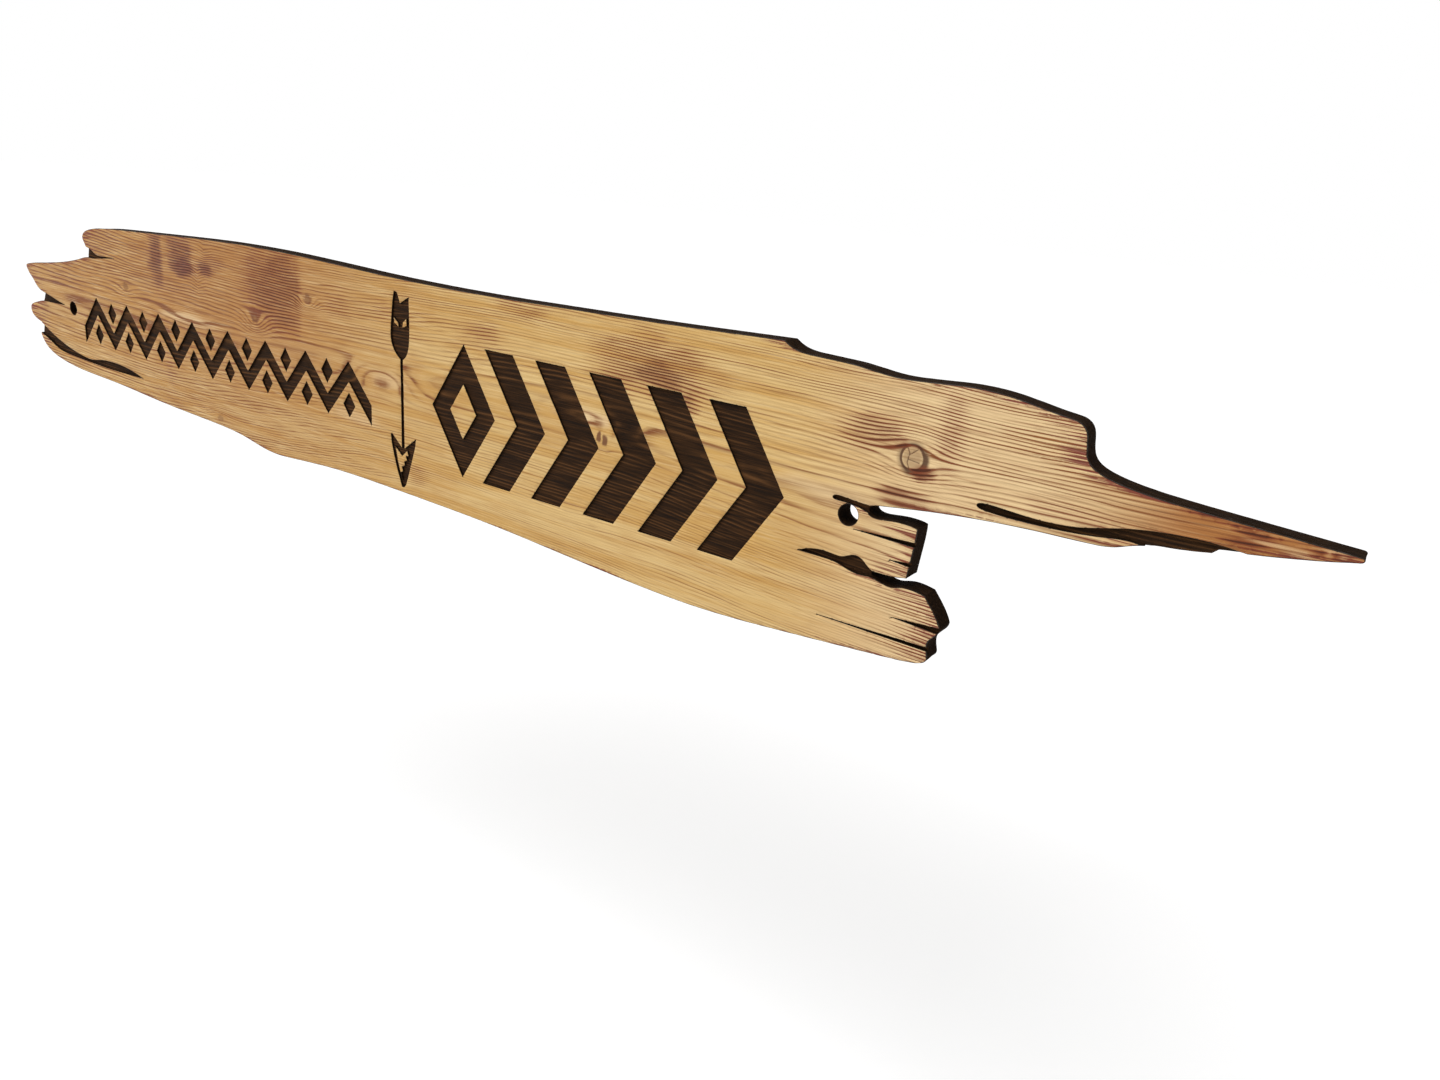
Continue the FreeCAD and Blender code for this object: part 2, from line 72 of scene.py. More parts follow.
# Growth rings: the pith sways along the plank behind its back, the rings are wider towards the left,
# and the trunk tapers along the plank.
RING_WIDTH = 2.0
WIDER_RINGS = Slope(0.3, 50, -450)
RING_RIPPLES = [Ripple(5.0, 190, 40, 0.0), Ripple(1.6, 70, 14, 3.0), Ripple(0.35, 22, 5, 6.0)]
LATE_PHASE = 0.84
PITH_HEIGHT = 12.0
PITH_BEHIND = 20.0
PITH_SWAY = 8
PITH_SWAY_LENGTH = 150
PITH_SWAY_PHASE = 0.4
TAPER = -0.011

# How strongly the rings bend round a knot, how far that reaches in its radii, and how an eye's rings waver.
KNOT_PULL = 0.85
KNOT_PULL_REACH = (2.6, 1.7)
EYE_WAVER = 0.4

# Wear: how deep the brush cuts between the late wood lines, how that varies, and what the floors show.
BRUSH_DEPTH = 0.26
BRUSH_LEAST = 0.65
BRUSH_RIGHT = Slope(0.5, 300, 560)
BRUSH_MEAN = 0.8
BRUSH_RIPPLE = Ripple(0.4, 70, 7, 21.0)
CALM_SHARE = 0.8
BACK_WEAR = 0.2
FLOOR_WEAR = 0.12
SPLIT_WEAR = 2

# Rims: how far they are rounded, and how deep the fire has eaten into the sides and into the faces' rims.
EDGE_ROUND = 0.8
CUT_ROUND = 0.35
CHAR_DEPTH = 0.45
CHAR_MEAN = 0.5
CHAR_RIPPLE = Ripple(0.5, 6, 9, 11.0)
CHAR_STRETCH = 4
RIM_CHAR = 0.3

# A knot's looks, by the distance from its middle in its own radii, with painted shade on the lower right of
# its rim, and the depth of its rim line.
KNOT_LINE_AT = 0.95
KNOT_LINE_WIDTH = 0.09
KNOT_LINE_DEPTH = 0.5
KNOT_SHADE_IN = Slope(1, 0.95, 1.0)
KNOT_SHADE_OUT = Slope(1, 1.7, 1.05)
KNOT_CORE_FADE = Slope(1, 1.05, 0.6)
KNOT_CALM = Slope(1, 1.15, 0.9)
KNOT_RIPPLE = Ripple(0.1, 9, 9, 0.5)
CORE_RIPPLE = Ripple(0.4, 3, 3, 0.7)
CRACK_DARK = 0.7
CRACK_CORE = 0.1

# Torch marks, by the distance from their middle in their own radii. The back has been torched less.
MARK_FADE = Slope(1, 1.25, 0.3)
MARK_CUT = Slope(1, 0.5, 0.58)
MARK_RIPPLE = Ripple(0.22, 14, 7, 0.5)
BACK_TORCH = 0.25

# Burns, by the distance from an end along the grain, from a rim or from a cut, or by a torn fibre's depth.
END_SINGE = Slope(1, 38.0, 0)
RIM_SINGE = Slope(1, 30, 3)
TORN_SINGE = Slope(1.5, 0.0, 0.4)
RIM_BURN = Slope(1, 1.0, 0.3)
CUT_BURN = Slope(1, 0.5, 0.0)
TORN_BURN = Slope(0.65, 0.4, 1.1)

# Where the wood is darker, paler or more plum, by the place along the plank or up it.
LEFT_TONE = Slope(0.85, 170, -150)
FAR_LEFT_TONE = Slope(-0.25, -270, -400)
LOW_TONE = 0.55
HIGH_TONE = Slope(0.45, -60, 20)
SPIKE_TONE = Slope(1.2, 600, 690)
RIGHT_PALE = Slope(0.95, 420, 550)
SPIKE_PALE = Slope(1, 700, 600)
LEFT_PLUM = Slope(1, -60, -300)

# Where the grain stands out, by the place along the plank or up it, or by the distance from an end.
CONTRAST = 0.5
HIGH_CONTRAST = Slope(0.14, -40, 60)
LEFT_CONTRAST = Slope(0.7, 120, -300)
EYE_CONTRAST = 0.25
RIGHT_END = Slope(1, 430, 560)
SHOULDER_CONTRAST = Slope(0.3, 15, 45)
TIP_CONTRAST = Slope(0.6, 55, 15)
LOW_CONTRAST = Slope(-0.1, 20, 5)

# How finely the faces are filled, along and across the grain, the steps along a rim and a side's rows.
FRONT_CELL = (6.5, 0.7)
FLOOR_CELL = (6.5, 0.9)
BACK_CELL = (9.0, 3.0)
RIM_STEP = 1.8
CUT_STEP = 2.6
SIDE_ROWS = 5

# Rows of points beside a rim, as shares of its rounding.
ROUND_ROWS = (0.3, 0.65, 1.1)
LIP_ROW = 1.3

# The least distance between two fill points, and between one and a rim, as a length or as a row's share.
FACE_SPACING = 0.38
FLOOR_SPACING = 0.4
DETAIL_CLEAR = 0.3
KNOT_CLEAR = 0.5
ROW_CLEAR = 0.9
CELL_CLEAR = 0.55

# The rings of points round a knot, and the rows of points along a crack and a torn fibre.
KNOT_REACH = 1.5
KNOT_RING_STEP = 0.55
KNOT_STEP = 0.9
KNOT_LEAST = 6
KNOT_TWIST = 9
CRACK_STEP = 0.7
TEAR_STEP = 1.5
TEAR_ROWS = (0, -0.5, 0.5, -1.2, 1.2)

# How a torn fibre sways along the grain, and the share of its width that it has at its tip.
TEAR_SWAY = 0.6
TEAR_SWAY_LENGTH = 7
TEAR_TIP = 0.35

# A rim that turns by less is a curve, and a fold that is sharper is shaded as an edge.
SOFT_TURN = math.radians(32)
SHARP_EDGE = math.radians(38)

# Points nearer than SAME_POINT are one, and an area under SPECK_AREA is only a gap along a straight rim.
SAME_POINT = 0.02
SPECK_AREA = 0.5

# The digits that a point and a depth keep, and lengths that count as none or as endless.
POINT_DIGITS = 4
DEPTH_DIGITS = 2
ON_RIM = 1e-6
MERGE_WITHIN = 1e-8
LEAST_LENGTH = 1e-9
FAR_AWAY = 1e6

# A knot's middle, its half width and half height, how dark its core is, and how dark its rim line and the
# painted shade on the rim's lower right are.
Knot = namedtuple("Knot", "x z wide tall core rim", defaults=(0.0,))
KNOTS = [
    Knot(523, 46, 7.8, 8.4, 0.5, 1.0),
    Knot(274, 9, 2.6, 4.5, 1.1),
    Knot(280, 7, 3.2, 5.5, 1.1),
    Knot(-372, 38, 6, 5, 0.6),
    Knot(-215, -72, 6, 3.5, 0.5),
    Knot(-148, 38, 6, 7, 0.6),
    Knot(-68, 65, 5, 5, 0.7),
]

# Fine cracks in the large knot: the half width and a row of (x, z) points.
Crack = namedtuple("Crack", "wide points")
CRACKS = [
    Crack(0.8, [(519, 53), (521, 49), (520, 43), (522, 39)]),
    Crack(0.7, [(521, 48), (526, 52)]),
    Crack(0.8, [(521, 45), (528, 44)]),
]

# An eye in the grain: its middle, its half width and half height, and how many rings close round it.
Eye = namedtuple("Eye", "x z wide tall rings")
EYES = [
    Eye(30, 10, 40, 13, 3.6),
    Eye(258, 20, 44, 9, 2.4),
    Eye(-148, 36, 20, 13, 3.0),
    Eye(-68, 63, 15, 10, 2.6),
    Eye(-262, 20, 60, 8, 1.2),
    Eye(-372, 38, 20, 9, 1.2),
    Eye(-238, 62, 7, 15, 1.6),
    Eye(-224, 88, 8, 9, 1.2),
    Eye(-215, -72, 22, 8, 1.4),
]

# A torch mark's middle, its half width and half height, its strength, and how hard its right hand edge is.
Mark = namedtuple("Mark", "x z wide tall strength edge", defaults=(0.0,))
MARKS = [
    Mark(-308, 74, 20, 36, 1.15, 0.8),
    Mark(-262, 72, 31, 15, 1.5, 0.5),
    Mark(-225, 73, 19, 10, 1.35, 0.3),
    Mark(-264, 84, 34, 20, 1.05, 0.4),
    Mark(-285, 44, 16, 9, 0.4),
    Mark(-212, 80, 26, 10, 0.6),
    Mark(-112, 68, 66, 48, 1.05, 0.8),
    Mark(-24, 65, 26, 18, 0.45, 0.4),
    Mark(32, 70, 18, 14, 0.4),
    Mark(152, 68, 32, 12, 0.6, 0.3),
    Mark(190, 92, 40, 9, 0.6),
    Mark(318, 68, 70, 30, 0.75),
    Mark(324, 64, 34, 15, 1.2),
    Mark(352, 50, 14, 12, 1.0),
    Mark(497, 57, 30, 15, 0.85, 0.2),
    Mark(546, 66, 14, 32, 0.65),
    Mark(520, 20, 24, 8, 1.15),
    Mark(628, 33, 42, 9, 0.5),
    Mark(75, -65, 20, 13, 0.5),
    Mark(-298, -40, 12, 32, 0.4),
    Mark(530, 38, 9, 7, 1.9),
    Mark(514, 54, 9, 6, 1.0),
    Mark(721, 47, 14, 2.8, 1.9),
    Mark(714, 41.5, 16, 2.8, 1.5),
    Mark(700, 51, 26, 2.2, 1.2),
    Mark(757, 45.5, 15, 2.4, 1.7),
    Mark(752, 40.5, 9, 1.8, 1.4),
    Mark(556, -64, 17, 4.5, 1.1),
    Mark(545, -70, 17, 3, 0.9),
    Mark(546, -79, 19, 4.5, 0.8),
    Mark(553, -48, 14, 11, 0.6),
    Mark(533, -15, 11, 4, 0.6),
    Mark(531, -27, 11, 3.5, 0.75),
    Mark(624, 79, 13, 9, 0.55),
    Mark(-552, 0, 20, 44, 0.45),
    Mark(-430, 80, 90, 26, 0.45),
    Mark(-330, 60, 130, 46, 0.35),
    Mark(-500, 30, 60, 20, 0.42),
]

# Pale places, written as torch marks are: partly early wood that stays pale, and partly painted highlights
# in the eyes of the grain and on the spike.
PALE_AND_HIGHLIGHT_MARKS = [
    Mark(-262, 20, 52, 6, 0.9),
    Mark(262, 21, 38, 6, 1.0, 0.5),
    Mark(472, 12, 48, 9, 0.8),
    Mark(40, 10, 30, 8, 0.6),
    Mark(-5, -30, 40, 8, 0.5),
    Mark(590, 24, 40, 6, 0.8),
    Mark(728, 44, 18, 1.5, 0.5),
    Mark(741, 42, 10, 3.5, 0.5),
    Mark(760, 48, 13, 1.4, 0.6),
    Mark(764, 43.3, 7, 1.5, 0.5),
]

# Torn fibres that open at the right hand end: where each starts and ends, its height, half width and depth.
Tear = namedtuple("Tear", "start end z wide deep")
TEARS = [
    Tear(530, 566, -44, 1.0, 1.2),
    Tear(536, 566, -48.5, 0.8, 0.9),
    Tear(528, 566, -53, 1.1, 1.2),
    Tear(540, 566, -58, 0.8, 0.9),
    Tear(520, 566, -74, 0.9, 1.0),
    Tear(526, 566, -79, 1.1, 1.3),
    Tear(518, 566, -84, 0.9, 1.0),
    Tear(518, 542, -19, 0.8, 0.8),
    Tear(516, 542, -33, 0.9, 1.0),
    Tear(600, 632, 66, 0.8, 0.6),
    Tear(596, 632, 72, 0.8, 0.7),
    Tear(602, 632, 77, 0.8, 0.7),
    Tear(594, 632, 82, 0.8, 0.6),
]


def smooth(low, high, value):
    """0 at low, 1 at high and an even S between them; low may be the larger."""
    share = np.clip((value - low) / (high - low), 0, 1)
    return share * share * (3 - 2 * share)


def slope(change, value):
    """How strong a change is at each value."""
    return change.strength * smooth(change.start, change.full, value)


def swirl(ripple, x, z, offset=0):
    """Smooth noise about 0, stretched along the grain. An offset takes it from another layer."""
    layer = ripple.layer + offset
    points = zip(x / ripple.along, z / ripple.across)
    return ripple.strength * np.array([noise.noise((px, pz, layer)) for px, pz in points])


def bell(place, x, z, stretch=(1, 1)):
    """1 at the middle of a knot or an eye, and less and less round it."""
    along = (x - place.x) / (stretch[0] * place.wide)
    across = (z - place.z) / (stretch[1] * place.tall)
    return np.exp(-along ** 2 - across ** 2)


def sides(loop):
    """The sides of a closed loop, as pairs of points."""
    return zip(loop, loop[1:] + loop[:1])


def point_tree(points):
    """A search tree over (x, z) points."""
    tree = KDTree(len(points))
    for i, (x, z) in enumerate(points):
        tree.insert((x, z, 0), i)
    tree.balance()
    return tree


def shared_points(mesh):
    """Each vertex's (x, z) point, the very same for vertices that stand one behind the other."""
    points = [(vertex.co.x / MM, vertex.co.z / MM) for vertex in mesh.vertices]
    tree = point_tree(points)
    firsts = [min(i for _, i, _ in tree.find_range((x, z, 0), SAME_POINT)) for x, z in points]
    return [(round(points[i][0], POINT_DIGITS), round(points[i][1], POINT_DIGITS)) for i in firsts]


def flat_rims(mesh):
    """The rim edges of the mesh's flat faces, by depth, as pairs of (x, z) points."""
    uses = {}
    points = shared_points(mesh)
    mesh.calc_loop_triangles()
    for triangle in mesh.loop_triangles:
        depths = [mesh.vertices[i].co.y / MM for i in triangle.vertices]
        if max(depths) - min(depths) > SAME_POINT:
            continue
        depth = round(depths[0], DEPTH_DIGITS)
        for side in sides([points[i] for i in triangle.vertices]):
            key = (depth, tuple(sorted(side)))
            uses[key] = uses.get(key, 0) + 1
    rims = {}
    for (depth, side), count in uses.items():
        if count == 1:
            rims.setdefault(depth, set()).add(side)
    return rims


def chained(edges):
    """The closed loops that the edges make."""
    neighbours = {}
    for a, b in sorted(edges):
        neighbours.setdefault(a, []).append(b)
        neighbours.setdefault(b, []).append(a)
    loops = []
    walked = set()
    for start in neighbours:
        if start in walked:
            continue
        loop = [start]
        following = neighbours[start][0]
        while following != start:
            loop.append(following)
            first, second = neighbours[following]
            following = second if first == loop[-2] else first
        walked.update(loop)
        loops.append(loop)
    return loops


def heading(before, here, after):
    """The rim's direction at a point: along the chord of its neighbours, or none at a sharp corner."""
    arriving = Vector(here) - Vector(before)
    leaving = Vector(after) - Vector(here)
    if arriving.angle(leaving, math.pi) > SOFT_TURN:
        return None
    return (Vector(after) - Vector(before)).normalized()


def curve_points(before, here, after, beyond, step):
    """Points along the side from here to after, on a curve that keeps the rim's direction at both ends."""
    chord = Vector(after) - Vector(here)
    direction = chord.normalized()
    leave = heading(before, here, after) or direction
    arrive = heading(here, after, beyond) or direction
    count = max(1, round(chord.length / step))
    points = []
    for k in range(1, count):
        t = k / count
        near = Vector(here) * (1 - 3 * t * t + 2 * t ** 3)
        far = Vector(after) * (3 * t * t - 2 * t ** 3)
        bend = leave * (t * (1 - t) ** 2) - arrive * (t * t * (1 - t))
        point = near + far + bend * chord.length
        points.append((round(point.x, POINT_DIGITS), round(point.y, POINT_DIGITS)))
    return points


def refined(loop, step, kept):
    """The loop with more points on its sides. A side that is in kept already gets the same ones again."""
    full = []
    for i, here in enumerate(loop):
        after = loop[(i + 1) % len(loop)]
        key = (min(here, after), max(here, after))
        if key not in kept:
            inner = curve_points(loop[i - 1], here, after, loop[(i + 2) % len(loop)], step)
            kept[key] = inner if here < after else inner[::-1]
        between = kept[key] if here < after else kept[key][::-1]
        full.append(here)
        full.extend(between)
    return full


def crossings(points, loops):
    """How often the loops cross the grain line right of each point, and how near they cross it at all."""
    order = np.argsort(points[:, 1], kind="stable")
    x = points[order, 0]
    z = points[order, 1]
    count = np.zeros(len(points), int)
    reach = np.full(len(points), FAR_AWAY)
    for loop in loops:
        for (ax, az), (bx, bz) in sides(loop):
            low, high = np.searchsorted(z, (min(az, bz), max(az, bz)))
            if low == high:
                continue
            away = ax + (z[low:high] - az) * (bx - ax) / (bz - az) - x[low:high]
            count[low:high] += away > 0
            reach[low:high] = np.minimum(reach[low:high], np.abs(away))
    back = np.empty_like(order)
    back[order] = np.arange(len(order))
    return count[back], reach[back]


def inside(points, loops):
    """Which points lie inside the loops, with holes and islands taken into account."""
    return crossings(points, loops)[0] % 2 == 1


def distances(points, loops):
    """How far each point is from the nearest side of the loops."""
    ends = []
    for loop in loops:
        for i, here in enumerate(loop):
            ends.append((loop[i - 1], here, loop[(i + 1) % len(loop)]))
    tree = point_tree([here for _, here, _ in ends])
    result = np.empty(len(points))
    for i, (px, pz) in enumerate(points):
        _, nearest, away = tree.find((px, pz, 0))
        before, here, after = ends[nearest]
        for other in (before, after):
            dx = other[0] - here[0]
            dz = other[1] - here[1]
            share = ((px - here[0]) * dx + (pz - here[1]) * dz) / (dx * dx + dz * dz)
            if share > 0:
                away = min(away, abs((px - here[0]) * dz - (pz - here[1]) * dx) / math.hypot(dx, dz))
        result[i] = away
    return result


def normals(loop):
    """The left-hand normal at each point of a loop."""
    points = np.array(loop)
    along = np.roll(points, -1, axis=0) - np.roll(points, 1, axis=0)
    along /= np.maximum(np.hypot(along[:, 0], along[:, 1]), LEAST_LENGTH)[:, None]
    return np.stack([-along[:, 1], along[:, 0]], axis=1)


def signed_area(loop):
    """Twice a loop's area, above 0 where it runs anticlockwise."""
    return sum(ax * bz - bx * az for (ax, az), (bx, bz) in sides(loop))


def beside(loops, away):
    """Points at a distance from the loops, on both sides of each."""
    rows = []
    for loop in loops:
        points = np.array(loop)
        shift = normals(loop) * away
        rows.append(points + shift)
        rows.append(points - shift)
    return np.concatenate(rows)


def grid(low, high, cell):
    """Rows of points over a rectangle."""
    x, z = np.meshgrid(np.arange(low[0], high[0], cell[0]), np.arange(low[1], high[1], cell[1]))
    return np.stack([x.ravel(), z.ravel()], axis=1)


def knot_points(knot):
    """Points on rings round a knot, close enough to shape its rim."""
    rows = []
    for share in np.arange(0.0, KNOT_REACH, KNOT_RING_STEP / knot.wide):
        count = KNOT_LEAST + int(2 * np.pi * share * knot.wide / KNOT_STEP)
        turns = np.linspace(0, 2 * np.pi, count, endpoint=False) + KNOT_TWIST * share
        rows.append(np.stack([knot.x + knot.wide * share * np.cos(turns),
                              knot.z + knot.tall * share * np.sin(turns)], axis=1))
    return np.concatenate(rows)


def crack_points(crack):
    """Rows of points along a crack and just beside it."""
    rows = []
    for start, end in zip(crack.points, crack.points[1:]):
        along = np.array(end, float) - np.array(start, float)
        length = np.hypot(*along)
        across = np.array([-along[1], along[0]]) / length
        shares = np.arange(0, 1, CRACK_STEP / length)[:, None]
        for away in (0.0, -crack.wide, crack.wide):
            rows.append(np.array(start) + shares * along + away * across)
    return np.concatenate(rows)


def tear_middle(tear, x):
    """The height of a torn fibre, which wanders a little along the grain."""
    return tear.z + TEAR_SWAY * np.sin(x / TEAR_SWAY_LENGTH + tear.z)


def tear_points(tear):
    """Rows of points along a torn fibre, its middle and its two lips."""
    x = np.arange(tear.start, tear.end, TEAR_STEP)
    middle = tear_middle(tear, x)
    return np.concatenate([np.stack([x, middle + tear.wide * share], axis=1) for share in TEAR_ROWS])


def regions(faces, rim):
    """Groups of faces that join across sides that aren't on the rim, as lists of their numbers."""
    barred = {tuple(sorted(edge)) for edge in rim}
    joined = {}
    for number, face in enumerate(faces):
        for side in sides(face):
            joined.setdefault(tuple(sorted(side)), []).append(number)
    groups = []
    reached = set()
    for start in range(len(faces)):
        if start in reached:
            continue
        reached.add(start)
        group = [start]
        for number in group:
            for side in sides(faces[number]):
                key = tuple(sorted(side))
                if key in barred:
                    continue
                for other in joined[key]:
                    if other not in reached:
                        reached.add(other)
                        group.append(other)
        groups.append(group)
    return groups


class Plank:
    """The plank's vertices, each an (x, z) point at a depth, and its faces with their materials."""

    def __init__(self):
        self.numbers = {}
        self.faces = []
        self.materials = []

    def vertex(self, point, depth):
        """The number of the vertex at a point and a depth, a new one if there is none."""
        key = (point[0], point[1], depth)
        return self.numbers.setdefault(key, len(self.numbers))

    def add_wall(self, points, depths, material):
        """Quads from each depth to the next along an open row of points."""
        for a, b in zip(points, points[1:]):
            for top, bottom in zip(depths, depths[1:]):
                self.faces.append((self.vertex(a, top), self.vertex(b, top),
                                   self.vertex(b, bottom), self.vertex(a, bottom)))
                self.materials.append(material)

    def add_sheet(self, loops, depth, fill, material):
        """Triangles over the area inside the loops, through the fill points."""
        points = list(dict.fromkeys(point for loop in loops for point in loop))
        number = {point: i for i, point in enumerate(points)}
        edges = [(number[a], number[b]) for loop in loops for a, b in sides(loop)]
        points += [(float(x), float(z)) for x, z in fill]
        vectors = [Vector(point) for point in points]
        _, _, triangles, origins, _, _ = delaunay_2d_cdt(vectors, edges, [], 0, MERGE_WITHIN)
        faces = [[origins[i][0] for i in triangle] for triangle in triangles]
        for region in regions(faces, edges):
            corners = np.array([[points[i] for i in faces[k]] for k in region])
            first = corners[:, 1] - corners[:, 0]
            second = corners[:, 2] - corners[:, 0]
            areas = np.abs(first[:, 0] * second[:, 1] - first[:, 1] * second[:, 0]) / 2
            middle = corners[np.argmax(areas)].mean(axis=0)
            if areas.sum() > SPECK_AREA and inside(middle[None, :], loops)[0]:
                for k in region:
                    self.faces.append([self.vertex(points[i], depth) for i in faces[k]])
                    self.materials.append(material)


def filling(loops, cell, rows, spacing):
    """Points inside the loops: rows of (points, least distance from a rim), and then a grid.

    A point that comes nearer than the spacing to one before it is left out.
    """
    rim = np.array([point for loop in loops for point in loop])
    cells = grid(rim.min(axis=0), rim.max(axis=0), cell)
    kept = []
    for points, clear in rows + [(cells, CELL_CLEAR * cell[1])]:
        points = points[inside(points, loops)]
        points = points[distances(points, loops) > clear]
        kept.append(points)
    return thinned(np.concatenate(kept), spacing)


def thinned(points, spacing):
    """The points without those that come too near to one before them."""
    tree = point_tree(points)
    dropped = set()
    for i, (x, z) in enumerate(points):
        if i in dropped:
            continue
        for _, other, _ in tree.find_range((x, z, 0), spacing):
            if other > i:
                dropped.add(other)
    return np.array([point for i, point in enumerate(points) if i not in dropped])


# The rims of the frame's flat faces, by depth, and the loops that they make.
rims = flat_rims(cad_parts["sign_board"].data)
FRONT, FLOOR, SPLIT, BACK = sorted(rims)
cut_edges = rims[FLOOR] | (rims[SPLIT] & rims[FRONT])
through_edges = (rims[FRONT] | rims[SPLIT]) - cut_edges

kept_sides = {}
front_loops = [refined(loop, RIM_STEP, kept_sides) for loop in chained(rims[FRONT])]
floor_loops = [refined(loop, CUT_STEP, kept_sides) for loop in chained(rims[FLOOR])]
split_loops = [refined(loop, CUT_STEP, kept_sides) for loop in chained(rims[SPLIT])]
through_loops = [refined(loop, RIM_STEP, kept_sides) for loop in chained(through_edges)]
outline = max(through_loops, key=lambda loop: abs(signed_area(loop)))
cut_loops = floor_loops + split_loops

# The plank's walls, each over the depths that it spans, and its faces.
MATERIALS = ["flamed_wood", "burnt_engraving", "charred_sides", "plain_back"]
FLAMED, ENGRAVED, CHARRED, PLAIN = range(len(MATERIALS))

side_depths = [FRONT, (FRONT + FLOOR) / 2, FLOOR] + list(np.linspace(SPLIT, BACK, SIDE_ROWS))
floor_depths = [depth for depth in side_depths if depth <= FLOOR]
split_depths = [depth for depth in side_depths if depth <= SPLIT]
mouth_depths = [depth for depth in side_depths if depth >= SPLIT]
walls = [
    (rims[FLOOR], floor_depths),
    (rims[SPLIT] & rims[FRONT], split_depths),
    (rims[SPLIT] - rims[FRONT], mouth_depths),
    (rims[FRONT] - cut_edges, side_depths),
]
plank = Plank()
for edges, depths in walls:
    for start, end in sorted(edges):
        plank.add_wall([start] + kept_sides[start, end] + [end], depths, CHARRED)

rounding = []
for away in (EDGE_ROUND * share for share in ROUND_ROWS):
    rounding.append((beside(through_loops, away), away * ROW_CLEAR))
lips = [(beside(cut_loops, CUT_ROUND * LIP_ROW), CUT_ROUND)]
details = [(tear_points(tear), DETAIL_CLEAR) for tear in TEARS]
details += [(crack_points(crack), DETAIL_CLEAR) for crack in CRACKS]
details += [(knot_points(knot), KNOT_CLEAR) for knot in KNOTS]
front_fill = filling(front_loops, FRONT_CELL, rounding + lips + details, FACE_SPACING)
floor_fill = filling(floor_loops, FLOOR_CELL, [], FLOOR_SPACING)
split_fill = filling(split_loops, FLOOR_CELL, [], FLOOR_SPACING)
back_fill = filling(through_loops, BACK_CELL, rounding, FACE_SPACING)
plank.add_sheet(front_loops, FRONT, front_fill, FLAMED)
plank.add_sheet(floor_loops, FLOOR, floor_fill, ENGRAVED)
plank.add_sheet(split_loops, SPLIT, split_fill, ENGRAVED)
plank.add_sheet(through_loops, BACK, back_fill, PLAIN)


def rounded(distance, radius):
    """How far a rounded rim drops at a distance from its edge."""
    share = np.clip(1 - distance / radius, 0, 1)
    return radius * (1 - np.sqrt(1 - share * share))


def ring_numbers(x, y, z):
    """Which growth ring each point lies in, counted out from the pith. The rings bend round the knots."""
    height = z.copy()
    for knot in KNOTS:
        height -= (height - knot.z) * bell(knot, x, z, KNOT_PULL_REACH) * KNOT_PULL
    waver = sum(swirl(ripple, x, z) for ripple in RING_RIPPLES)
    pith = PITH_HEIGHT + PITH_SWAY * np.sin(x / PITH_SWAY_LENGTH + PITH_SWAY_PHASE)
    radius = np.hypot(height + waver - pith, PITH_BEHIND - y)
    number = (radius + TAPER * x) / (RING_WIDTH * (1 + slope(WIDER_RINGS, x)))
    for eye in EYES:
        across = (z - eye.z + EYE_WAVER * waver) / eye.tall
        number += eye.rings * np.exp(-((x - eye.x) / eye.wide) ** 2 - across ** 2)
    return number


def torn(x, z):
    """How deep the torn fibres are at each point."""
    deep = np.zeros_like(x)
    for tear in TEARS:
        opening = smooth(tear.start, tear.end, x)
        width = tear.wide * (TEAR_TIP + (1 - TEAR_TIP) * opening)
        away = np.abs(z - tear_middle(tear, x))
        deep = np.maximum(deep, tear.deep * opening * np.clip(1 - away / width, 0, 1))
    return deep


def near_line(start, end, x, z):
    """How far each point is from a straight line between two points."""
    across = end[0] - start[0]
    rise = end[1] - start[1]
    share = ((x - start[0]) * across + (z - start[1]) * rise) / (across ** 2 + rise ** 2)
    share = np.clip(share, 0, 1)
    return np.hypot(x - start[0] - share * across, z - start[1] - share * rise)


def knot_looks(knot, x, z):
    """How strongly a knot's core, its rim with the painted shade on its lower right, and the calm wood
    inside its rim show at each point.
    """
    along = (x - knot.x) / knot.wide
    across = (z - knot.z) / knot.tall
    reach = np.hypot(along, across) * (1 + swirl(KNOT_RIPPLE, x, z, knot.x))
    uneven = reach * (1 + swirl(CORE_RIPPLE, x, z, knot.x) * (1 - knot.rim))
    # Painted shade: the rim darkens towards its lower right, away from the lamp.
    shaded = 0.5 + 0.5 * np.clip(along - across, 0, 1)
    line = np.exp(-((reach - KNOT_LINE_AT) / KNOT_LINE_WIDTH) ** 2)
    line += shaded * slope(KNOT_SHADE_IN, reach) * slope(KNOT_SHADE_OUT, reach)
    core = knot.core * slope(KNOT_CORE_FADE, uneven)
    calm = knot.rim * slope(KNOT_CALM, reach)
    return core, knot.rim * line, calm


def marked(marks, x, z):
    """How strongly the marks colour each point."""
    field = np.zeros_like(x)
    for mark in marks:
        across = (x - mark.x) / mark.wide
        reach = np.hypot(across, (z - mark.z) / mark.tall) + swirl(MARK_RIPPLE, x, z, mark.x)
        cut = 1 - mark.edge * slope(MARK_CUT, across)
        field = np.maximum(field, mark.strength * slope(MARK_FADE, reach) * cut)
    return field


def eye_share(x, z):
    """How much of an eye's swirl each point lies in, from 0 to 1."""
    share = np.zeros_like(x)
    for eye in EYES:
        share = np.maximum(share, bell(eye, x, z))
    return share


# What each vertex lies on, and how far it is from a rim, from a cut and from the plank's ends.
keys = np.array(list(plank.numbers))
x = keys[:, 0]
z = keys[:, 1]
depth = keys[:, 2]
flat = keys[:, :2]
edge_distance = distances(flat, through_loops)
cut_distance = distances(flat, cut_loops)
end_distance = crossings(flat, [outline])[1]
on_front = depth == FRONT
on_back = depth == BACK
on_side = (edge_distance < ON_RIM) & ~on_front & ~on_back
